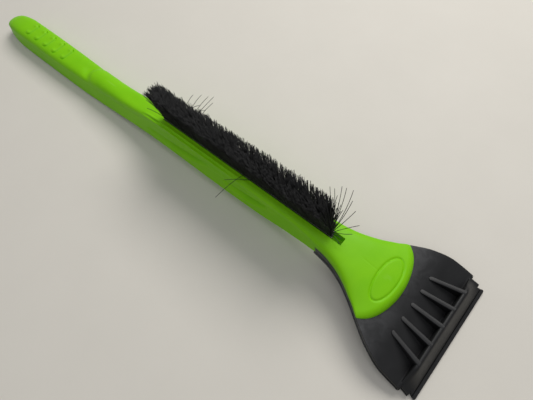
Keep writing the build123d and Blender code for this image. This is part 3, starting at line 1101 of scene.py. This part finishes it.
    def _drill(self, piece: bpy.types.Object) -> None:
        """Cuts the hang hole across the grip's end with a round cutter, flared at both ends.

        Formula: the cutter's radius is the hole's, plus a millimetre that fades in near the flanks.
        """
        across = np.array([-20.0, -12.6, -12.0, -11.2, -10.0, 10.0, 11.2, 12.0, 12.6, 20.0])
        radius = self.hang_radius + self.hang_flare * ramp(np.abs(across), 10.0, 13.0)
        turn = np.arange(40) * 2 * math.pi / 40
        rings = np.stack(
            [
                (BLADE_X - self.hang_reach) + radius[:, None] * np.cos(turn),
                np.broadcast_to(across[:, None], (len(across), len(turn))),
                self.hang_height + radius[:, None] * np.sin(turn),
            ],
            axis=-1,
        )
        shell = closed_sweep(rings)
        mesh = bpy.data.meshes.new("hang_hole_cutter")
        mesh.from_pydata((shell.points * MM).tolist(), [], shell.quads.tolist() + shell.tris.tolist())
        cutter = bpy.data.objects.new("hang_hole_cutter", mesh)
        bpy.context.scene.collection.objects.link(cutter)
        cut = piece.modifiers.new("hang_hole", "BOOLEAN")
        cut.object = cutter
        cut.solver = "EXACT"
        settled = piece.evaluated_get(bpy.context.evaluated_depsgraph_get())
        drilled = bpy.data.meshes.new_from_object(settled)
        piece.modifiers.clear()
        piece.data = drilled
        piece.data.set_sharp_from_angle(angle=math.radians(38.0))
        bpy.data.objects.remove(cutter)


# ---------------------------------------------------------------------------- scraper head


@dataclass
class ScraperHead:
    """The black moulding: fanned plate, side wall, five ribs, bar, bevelled blade edge and teeth."""

    form: HeadForm
    side_inset: float = 0.05
    edge_round: float = 0.9
    flange: float = 0.55
    wall: float = 2.6
    recess_back: float = 121.0
    recess_front: float = 16.0
    bar_reach: float = 15.0
    bar_land: float = 11.6
    bar_full: float = 35.5
    bar_gone: float = 54.5
    lip_depth: float = 3.3
    rib_count: int = 5
    rib_width: float = 3.5
    rib_inner: float = 41.5
    rib_outer: float = 12.5
    rib_fan: float = 7.2
    rib_widening: float = 0.22
    rib_pitch: float = 17.2
    boss_radius: float = 5.2
    boss_bore: float = 2.0
    screw_reach: float = 84.0
    screw_side: float = 15.0
    screw_seat: float = 24.2

    def rows(self) -> tuple[np.ndarray, np.ndarray]:
        """Where the plate's rows are.

        Returns:
            Each row's reach and the half width of the head there, with the two teeth of each side.
        """
        back = np.concatenate(
            [
                [127.0, 126.6],
                np.linspace(126.0, self.recess_back, 5, endpoint=False),
                [self.recess_back, self.recess_back],
                np.linspace(120.0, 50.0, 60, endpoint=False),
                np.linspace(50.0, self.recess_front + 0.4, 46, endpoint=False),
                [self.recess_front, self.recess_front],
            ]
        )
        front = np.array(
            [15.6, 15.3, 15.0, 14.8, 14.6, 14.3, 14.0, 13.7, 13.4, 13.4, 12.6, 12.0, 11.6, 11.2, 10.8, 10.0,
             9.0, 8.0, 7.0, 6.0, 6.0, 5.3, 4.7, 4.2, 3.9, 3.7, 3.5, 3.3, 3.1, 2.8, 2.3, 1.7, 1.3, 0.9,
             0.55, 0.3, 0.12, 0.0]
        )
        half_back = self.form.half_width(back)
        half_front = np.interp(front, [0.0, 0.3, 1.3, 5.3, 5.9, 13.4, 14.0, 16.0],
                               [53.8, 54.1, 54.6, 52.6, 55.5, 54.3, 57.2, 57.2])
        first_tooth = np.flatnonzero(front == 13.4)[0]
        half_front[first_tooth] = 57.2
        second_tooth = np.flatnonzero(front == 6.0)
        half_front[second_tooth] = [55.5, 52.4]
        return np.concatenate([back, front]), np.concatenate([half_back, half_front])

    def surface(self, reach: np.ndarray, y: np.ndarray) -> np.ndarray:
        """Height of the head's top.

        Formula: the plate's curve, or the bar where it is higher. The bar has a rounded land and a
        straight bevel down to the lip, stands full across the middle and sinks into the plate at its ends.

        Args:
            reach: The points' reach.
            y: Their y.

        Returns:
            The height at each point.
        """
        plate = self.form.top(reach)
        bar = np.interp(
            reach,
            [0.0, 0.12, 0.55, self.lip_depth - 0.4, self.lip_depth, self.lip_depth + 0.4, self.bar_land - 0.8,
             self.bar_land, 12.6, 14.0, 14.6, self.bar_reach, self.bar_reach + 0.3],
            [1.9, 2.35, 2.6, 3.45, 2.7, 4.1, 18.4,
             19.4, 19.9, 19.9, 19.5, 18.8, 10.2],
        )
        low = np.interp(
            reach,
            [0.0, 0.12, 0.55, self.lip_depth - 0.4, self.lip_depth, self.lip_depth + 0.4, 8.0, 15.3],
            [1.9, 2.35, 2.6, 3.45, 2.7, 3.9, 6.5, 10.3],
        )
        plate = np.where(reach < self.bar_reach + 0.2, np.maximum(low, 0.0), plate)
        ends = 1 - ramp(np.abs(y), self.bar_full, self.bar_gone)
        raised = plate + (np.maximum(bar, plate) - plate) * ends
        return np.where(reach < self.bar_reach + 0.2, raised, plate)

    def plate(self) -> Shell:
        """Works out the plate with its side wall and the recess under it.

        Returns:
            The closed shell.
        """
        reach, half = self.rows()
        inset = self.side_inset * ramp(reach, 60.0, 75.0)
        half = (half - inset)[:, None]
        low = self.form.under(reach)[:, None]
        number = np.arange(len(reach))
        start = np.flatnonzero(reach == self.recess_back)[1]
        stop = np.flatnonzero(reach == self.recess_front)[0]
        hollow = ((number >= start) & (number <= stop))[:, None]

        across = joined_steps((0.0, 0.62, 34), (0.62, 0.97, 26))
        edge_y = half - self.edge_round
        y_top = edge_y * np.append(across, 1.0)
        z_top = self.surface(reach[:, None] + 0 * y_top, y_top)
        rim = z_top[:, -1:]
        tall = np.maximum(rim - low, 0.2)
        soft = np.minimum(self.edge_round, 0.45 * tall)
        turn = np.linspace(0.0, math.pi / 2, 6)[1:]
        y_round = edge_y + self.edge_round * np.sin(turn)
        z_round = rim - soft * (1 - np.cos(turn))
        down = np.array([0.2, 0.45, 0.60, 0.64, 0.70, 0.80, 0.93, 1.0])
        flange_places, flange_shares = [0.0, 0.60, 0.64, 0.70, 0.93, 1.0], [0.0, -0.5, -0.5, 1.0, 1.0, 0.5]
        step_out = self.flange * np.interp(down, flange_places, flange_shares)
        step_out = step_out * np.clip(tall / 5.0, 0.0, 1.0)
        y_wall = half + step_out
        z_wall = rim - soft - (tall - soft) * down
        inner = half - self.wall
        ceiling = np.where(hollow, z_top[:, -1:] - self.wall, low)
        y_in = np.concatenate([inner, inner, inner], axis=1)
        z_in = np.concatenate([low, low + (ceiling - low) * 0.5, ceiling], axis=1)
        back_across = np.linspace(0.96, 0.0, 24)
        y_ceiling = inner * back_across
        z_ceiling = np.where(hollow, self.form.top(reach)[:, None] - self.wall, low) + 0 * y_ceiling
        y = np.concatenate([y_top, y_round, y_wall, y_in, y_ceiling], axis=1)
        z = np.concatenate([z_top, z_round, z_wall, z_in, z_ceiling], axis=1)
        rings_half = np.stack([BLADE_X - (reach[:, None] + 0 * y), y, z], axis=-1)
        mirrored = rings_half[:, -2:0:-1] * np.array([1.0, -1.0, 1.0])
        return closed_sweep(np.concatenate([rings_half, mirrored], axis=1))

    def rib(self, number: int) -> Shell:
        """Works out one rib.

        Formula: a stadium in plan, from its rounded inner end to the bar, which widens towards the bar.
        Its sides lean outwards to its foot, and its upper edge is rounded. Its top is nearly level, and
        at its inner end it is flush with the plate.

        Args:
            number: Which rib, counted from one side.

        Returns:
            The closed shell.
        """
        turn = (number - (self.rib_count - 1) / 2) * self.rib_fan
        slope = math.tan(math.radians(turn))
        middle = (number - (self.rib_count - 1) / 2) * self.rib_pitch
        # Plan outline as a closed loop, by station along the rib and side.
        end = np.linspace(-math.pi / 2, math.pi / 2, 13)
        half = self.rib_width / 2
        straight = np.linspace(self.rib_inner - half, self.rib_outer, 22)[1:]
        length = np.concatenate([self.rib_inner - half + half * np.cos(end), straight, straight[::-1]])
        side = np.concatenate([np.sin(end), np.ones(len(straight)), -np.ones(len(straight))])
        levels = [(1.0, 1.20), (0.55, 1.10), (0.09, 1.0), (0.05, 0.96), (0.02, 0.84), (0.0, 0.66)]
        rings = []
        for drop, width in levels:
            reach = np.minimum(length, self.rib_inner - half * (1 - width))
            top = np.interp(reach, [self.rib_outer, self.rib_inner], [20.1, 20.9])
            foot = self.form.top(np.maximum(reach, self.bar_reach + 0.5)) - 1.5
            z = top - (top - foot) * drop
            widening = 1 + self.rib_widening * ramp(reach, self.rib_inner - 4.0, self.rib_outer)
            across = side * half * width * widening
            fanned = middle - (reach - self.bar_reach) * slope
            rings.append(np.stack([BLADE_X - reach, fanned + across, z], axis=-1))
        return closed_sweep(np.stack(rings))

    def boss(self, side: int) -> Shell:
        """Works out one screw boss under the plate, a tube from its seat up into the plate.

        Formula: a closed profile of radius and height carried round the screw's axis.

        Args:
            side: +1 or -1, which side of the tool.

        Returns:
            The closed shell.
        """
        seat, ceiling = self.screw_seat, float(self.form.top(np.array([self.screw_reach]))[0]) - 1.2
        profile = np.array(
            [
                (self.boss_bore, seat), (self.boss_bore, ceiling), (self.boss_radius + 0.6, ceiling),
                (self.boss_radius, ceiling - 2.0), (self.boss_radius - 0.1, seat + 0.4),
                (self.boss_radius - 0.5, seat),
            ]
        )
        turn = np.arange(48) * 2 * math.pi / 48
        rings = np.stack(
            [
                BLADE_X - self.screw_reach + profile[:, 0, None] * np.cos(turn),
                side * self.screw_side + profile[:, 0, None] * np.sin(turn),
                np.broadcast_to(profile[:, 1, None], (len(profile), len(turn))),
            ],
            axis=-1,
        )
        number = np.arange(len(profile) * len(turn)).reshape(len(profile), len(turn))
        right, up = np.roll(number, -1, axis=1), np.roll(number, -1, axis=0)
        both = np.roll(up, -1, axis=1)
        quads = np.stack([number, right, both, up], axis=-1).reshape(-1, 4)
        return Shell(rings.reshape(-1, 3), quads, np.empty((0, 3), int)).outward()

    def build(self) -> bpy.types.Object:
        """Makes the moulding.

        Returns:
            The object.
        """
        shells = [self.plate()]
        shells += [self.rib(number) for number in range(self.rib_count)]
        shells += [self.boss(side) for side in (-1, 1)]
        return make_piece("head_moulding", joined(shells), Finish.BLACK, ("scraper_head",))


# ---------------------------------------------------------------------------- brush


@dataclass
class Brush:
    """The strip brush: many fine filaments folded into a steel channel."""

    start: float
    end: float
    foot: float
    tip: float
    count: int = 6200
    tuft_size: int = 3
    filament_radius: float = 0.215
    loose_radius: float = 0.29
    foot_half: float = 2.1
    tip_half: float = 8.2
    tip_flare: float = 2.6
    lean: float = 9.3
    start_lean: float = 1.2
    start_droop: float = 0.06
    loose_count: int = 72
    seed: int = 11

    def _waves(self, at: np.ndarray, across: np.ndarray, seed: int, scale: float) -> np.ndarray:
        """Smooth random waves over the brush, mostly from -1 to 1.

        Formula: the scaled sum of a few sines in random directions, with phases drawn from the seed.

        Args:
            at: Place along the brush.
            across: Place across it.
            seed: Which waves.
            scale: Length of the shortest wave, in millimetres.

        Returns:
            The waves' height at each place.
        """
        random = np.random.default_rng(seed)
        total = np.zeros_like(at)
        for _ in range(7):
            wave = 2 * math.pi / (scale * random.uniform(1.0, 3.5))
            turn = random.uniform(0, math.pi)
            total += np.sin(wave * (at * math.cos(turn) + across * math.sin(turn)) + random.uniform(0, 7))
        return total / 3.2

    def standing(self) -> Shell:
        """Works out the standing filaments.

        Formula: a filament leaves the channel upright and bends as a power of the way along it, by its
        tuft's lean along the brush and its tuft's spread across it. A tuft's filaments draw together
        towards its tip, where each keeps a small offset of its own.

        Returns:
            The shell of all filaments.
        """
        random = np.random.default_rng(self.seed)
        tufts = self.count // self.tuft_size
        place = (np.arange(tufts) + random.uniform(0.0, 1.0, tufts)) / tufts
        tuft_x = self.start + (self.end - self.start) * place
        tuft_side = random.uniform(-1.0, 1.0, tufts)
        tuft_lean = -self.lean + self._waves(tuft_x, tuft_side * 6, 1, 5.0) + random.normal(0, 0.9, tufts)
        at_start = ramp(tuft_x, self.start + 12.0, self.start)
        tuft_lean -= self.start_lean * at_start * random.uniform(0.0, 1.0, tufts)
        spread = self.tip_half + self.tip_flare * ramp(tuft_x, self.start, self.end)
        tuft_out = spread * np.sign(tuft_side) * np.abs(tuft_side) ** 0.85 + random.normal(0, 0.6, tufts)
        tuft_tall = 0.958 + 0.018 * self._waves(tuft_x, tuft_side * 8, 3, 7.0)
        tuft_tall = tuft_tall + random.normal(0, 0.014, tufts)
        tuft_tall *= 1 - 0.05 * np.abs(tuft_side) ** 3
        tuft_tall *= 1 - self.start_droop * ramp(tuft_x, self.start + 14.0, self.start)

        n = tufts * self.tuft_size
        tuft = np.repeat(np.arange(tufts), self.tuft_size)
        x = np.clip(tuft_x[tuft] + random.normal(0, 1.1, n), self.start, self.end)
        side = np.clip(tuft_side[tuft] + random.normal(0, 0.3, n), -1.0, 1.0)
        tall = self.tip - self.foot
        height = np.minimum(tall * (tuft_tall[tuft] + random.normal(0, 0.015, n)), tall * 0.999)
        tip_x = tuft_x[tuft] + tuft_lean[tuft] + random.normal(0, 0.62, n)
        tip_x = np.minimum(tip_x, self.end - self.lean + 0.8)
        tip_y = np.clip(tuft_out[tuft] + random.normal(0, 0.6, n), -11.5, 12.0)
        t = np.linspace(0.0, 1.0, 6)[None, :]
        wobble = random.normal(0, 0.40, (n, 2, 1)) * np.sin(math.pi * t)[:, None]
        way = 0.45 * t + 0.55 * t**1.7
        px = x[:, None] + (tip_x - x)[:, None] * way + wobble[:, 0]
        py = side[:, None] * self.foot_half + (tip_y - side * self.foot_half)[:, None] * way + wobble[:, 1]
        pz = self.foot - 2.0 + (height + 2.0)[:, None] * t
        paths = np.stack([px, py, pz], axis=-1)
        radii = self.filament_radius * random.uniform(0.85, 1.2, n)[:, None] * (1 - 0.25 * t)
        return tubes(paths, radii, 3)

    def build(self) -> list[bpy.types.Object]:
        """Makes the filaments and the loose ones that stand out.

        Returns:
            The objects.
        """
        field_piece = make_piece(
            "bristle_field",
            self.standing(),
            Finish.BRISTLE,
            ("bristle_fill",),
            crease=180.0,
        )
        self._tone(field_piece, 6, 3)
        loose = make_piece("loose_filaments", self.loose(), Finish.BRISTLE, crease=180.0)
        self._tone(loose, 8, 4)
        return [field_piece, loose]

    def _tone(self, piece: bpy.types.Object, rings: int, sides: int) -> None:
        """Stores how far along its filament each point is, and a tone of each filament's own.

        Args:
            piece: The piece made of filaments.
            rings: Rings in a filament.
            sides: Points in a ring.
        """
        points = len(piece.data.vertices)
        number = points // (rings * sides)
        along = np.tile(np.repeat(np.linspace(0, 1, rings), sides), number)
        own = np.repeat(np.random.default_rng(self.seed + 1).uniform(0, 1, number), rings * sides)
        for name, values in {"along": along, "own_tone": own}.items():
            attribute = piece.data.attributes.new(name, "FLOAT", "POINT")
            attribute.data.foreach_set("value", values.astype(np.float32))

    def loose(self) -> Shell:
        """Works out the loose filaments: a fan at the head's end and a few strays along the brush.

        Formula: each is a bend through a foot, a middle and a tip, as a quadratic curve.

        Returns:
            The shell of the loose filaments.
        """
        random = np.random.default_rng(self.seed + 5)
        n = self.loose_count
        foot = np.stack(
            [
                self.end - random.uniform(0.2, 4.0, n),
                random.uniform(-1.9, 1.9, n),
                np.full(n, self.foot - 1.5),
            ],
            axis=-1,
        )
        swing = random.uniform(0.0, 1.0, n)
        rise = random.uniform(18.0, 34.0, n)
        tip = foot + np.stack(
            [-7.0 + 10.0 * swing, 7.0 + random.normal(0.0, 4.5, n), rise * (1 - 0.2 * swing)], axis=-1
        )
        elbow = foot + (tip - foot) * np.array([0.25, 0.30, 0.55]) + random.normal(0, 1.1, (n, 3))
        strays = np.vstack([self._end_strays(), self._side_strays()])
        foot = np.vstack([foot, strays[:, 0]])
        elbow = np.vstack([elbow, strays[:, 1]])
        tip = np.vstack([tip, strays[:, 2]])
        t = np.linspace(0.0, 1.0, 8)[None, :, None]
        paths = (1 - t) ** 2 * foot[:, None] + 2 * t * (1 - t) * elbow[:, None] + t**2 * tip[:, None]
        radii = np.full(paths.shape[:2], self.loose_radius) * (1 - 0.2 * t[..., 0])
        return tubes(paths, radii, 4)

    def _end_strays(self) -> np.ndarray:
        """Foot, elbow and tip of the strays that splay out past the brush's end."""
        end = self.end
        return np.array(
            [
                [[end - 3, 0.5, 44.0], [end - 8, 8.0, 62.0], [end - 18.4, 18.5, 75.0]],
                [[end - 2, 1.0, 44.0], [end - 5, 9.0, 62.0], [end - 14.6, 19.5, 75.0]],
                [[end - 3, 1.0, 44.0], [end - 4, 12.0, 62.0], [end - 11.2, 24.5, 75.0]],
                [[end - 2, 1.5, 44.0], [end - 2, 13.0, 63.0], [end - 7.6, 25.5, 75.0]],
                [[end - 1, 1.5, 44.0], [end + 2, 13.0, 62.0], [end - 2.3, 27.0, 75.0]],
                [[end - 1, 1.0, 44.0], [end + 3, 9.0, 61.0], [end + 2.5, 19.0, 75.0]],
                [[end - 1, 0.5, 44.0], [end + 5, 6.0, 60.0], [end + 9.2, 13.4, 74.5]],
                [[end - 2, -1.0, 44.0], [end + 7, 3.0, 58.0], [end + 17.0, 8.5, 68.0]],
                [[end - 2, -1.5, 44.0], [end + 5, -2.0, 55.0], [end + 12.0, -6.0, 61.0]],
                [[end - 3, 0.0, 44.0], [end + 2, -3.0, 58.0], [end + 5.0, -7.0, 72.0]],
                [[end - 2, 1.0, 44.0], [end + 8, 1.0, 51.0], [end + 14.5, 6.0, 53.0]],
                [[end - 2, -1.0, 44.0], [end + 6, -3.0, 49.0], [end + 10.5, -5.0, 48.0]],
            ]
        )

    def _side_strays(self) -> np.ndarray:
        """Foot, elbow and tip of the strays along the brush."""
        middle = self.start + 0.52 * (self.end - self.start)
        early = self.start + 0.2 * (self.end - self.start)
        return np.array(
            [
                [[middle + 2, -1.5, 45.0], [middle, -16.0, 50.0], [middle - 2, -35.5, 46.0]],
                [[middle + 12, -2.0, 44.8], [middle + 2, -9.0, 47.0], [middle - 8, -17.5, 45.5]],
                [[early - 13, 2.0, 60.0], [early - 14, 10.0, 72.0], [early - 16, 21.5, 71.0]],
                [[early - 8, 2.0, 60.0], [early - 8, 12.0, 72.0], [early - 9, 25.5, 72.0]],
                [[early - 5, 2.0, 60.0], [early - 3, 12.0, 70.0], [early - 2, 27.5, 73.0]],
                [[early - 3, 2.0, 60.0], [early + 1, 13.0, 70.0], [early + 3, 29.5, 74.0]],
                [[early + 2, 2.0, 60.0], [early + 4, 12.0, 70.0], [early + 8, 23.5, 75.0]],
                [[early - 8, 4.0, 66.0], [early - 4, 10.0, 76.0], [early + 2, 14.0, 76.0]],
                [[early, 4.0, 66.0], [early + 4, 9.0, 77.0], [early + 9, 13.5, 75.0]],
                [[self.start + 1, 0.0, 44.0], [self.start - 9, 1.0, 56.0], [self.start - 19, -1.0, 66.0]],
                [[self.start + 1, -1.0, 44.0], [self.start - 8, -2.0, 54.0], [self.start - 15, -5.5, 62.0]],
                [[self.start + 2, -1.5, 44.0], [self.start - 5, -5.0, 52.0], [self.start - 10, -10.0, 58.0]],
            ]
        )


# ---------------------------------------------------------------------------- carried-over nodes


@dataclass
class Metalwork:
    """The steel pieces whose shape the frame already has: channel, core wire and screws."""

    finishes: dict[str, Finish] = field(
        default_factory=lambda: {
            "brush_channel": Finish.GALVANISED,
            "core_wire": Finish.GALVANISED,
            "head_screws": Finish.ZINC_SCREW,
        }
    )

    def dress(self) -> None:
        """Gives each node its steel."""
        for node, finish in self.finishes.items():
            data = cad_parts[node].data
            data.materials.clear()
            data.materials.append(finish.material())
            LOG.info("%s: dressed in %s", node, finish.value.name)


# ---------------------------------------------------------------------------- studio


@dataclass
class Studio:
    """Pale floor, two soft boxes and the camera."""

    floor_half: float = 6.0
    camera_place: tuple[float, float, float] = (0.25215, -0.13259, 0.36711)
    camera_turn: tuple[float, float, float] = (28.607, 3.113, 40.330)
    lens: float = 29.274
    sensor: float = 36.0

    def lay_floor(self) -> None:
        """Makes the floor."""
        half = self.floor_half
        mesh = bpy.data.meshes.new("floor")
        level = -0.0002
        corners = [(-half, -half, level), (half, -half, level), (half, half, level), (-half, half, level)]
        mesh.from_pydata(corners, [], [(0, 1, 2, 3)])
        mesh.materials.append(Finish.TABLE.material())
        floor = bpy.data.objects.new("floor", mesh)
        bpy.context.scene.collection.objects.link(floor)

    def hang_light(
        self, name: str, place: tuple[float, float, float], size: tuple[float, float], watts: float,
        tint: tuple[float, float, float], target: tuple[float, float, float] = (0.0, 0.0, 0.0),
    ) -> None:
        """Hangs one soft box.

        Args:
            name: The light's name.
            place: Where it hangs.
            size: Its two sides.
            watts: Its power.
            tint: Its colour.
            target: What it points at.
        """
        data = bpy.data.lights.new(name, "AREA")
        data.shape = "RECTANGLE"
        data.size, data.size_y = size
        data.energy = watts
        data.color = tint
        lamp = bpy.data.objects.new(name, data)
        bpy.context.scene.collection.objects.link(lamp)
        away = np.array(place) - np.array(target)
        away = away / np.linalg.norm(away)
        right = np.cross((0.0, 1.0, 0.0), away)
        right = right / np.linalg.norm(right)
        up = np.cross(away, right)
        turn = Matrix(np.stack([right, up, away], axis=1).tolist()).to_4x4()
        lamp.matrix_world = Matrix.Translation(place) @ turn

    def light(self) -> None:
        """Hangs the lights and sets the surroundings."""
        self.hang_light("key_soft_box", (-0.06, 0.98, 1.22), (1.05, 0.85), 18.6, (1.0, 0.985, 0.96))
        self.hang_light("overhead_soft_box", (0.32, -0.38, 1.45), (1.4, 1.2), 5.6, (0.97, 0.985, 1.0))
        world = bpy.data.worlds.new("studio")
        world.use_nodes = True
        background = world.node_tree.nodes["Background"]
        background.inputs["Color"].default_value = colour(0.93, 0.95, 1.0)
        background.inputs["Strength"].default_value = 0.25
        bpy.context.scene.world = world
        bpy.context.scene.view_settings.view_transform = "Standard"

    def aim_camera(self) -> None:
        """Makes the camera."""
        data = bpy.data.cameras.new("camera")
        data.lens = self.lens
        data.sensor_width = self.sensor
        data.clip_start = 0.01
        camera = bpy.data.objects.new("camera", data)
        camera.location = self.camera_place
        camera.rotation_euler = [math.radians(turn) for turn in self.camera_turn]
        bpy.context.scene.collection.objects.link(camera)
        bpy.context.scene.camera = camera

    def build(self) -> None:
        """Makes the whole studio."""
        self.aim_camera()
        self.lay_floor()
        self.light()


def main() -> None:
    """Builds the tool and its studio, in order."""
    logging.basicConfig(level=logging.INFO, format="%(name)s: %(message)s")
    Studio().build()
    form = HeadForm()
    Handle(form).build()
    ScraperHead(form).build()
    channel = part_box("brush_channel")
    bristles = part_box("bristle_fill")
    Brush(
        start=channel[0].x / MM,
        end=channel[1].x / MM,
        foot=channel[1].z / MM,
        tip=bristles[1].z / MM,
    ).build()
    Metalwork().dress()
    bpy.context.view_layer.update()


if __name__ == "__main__":
    main()
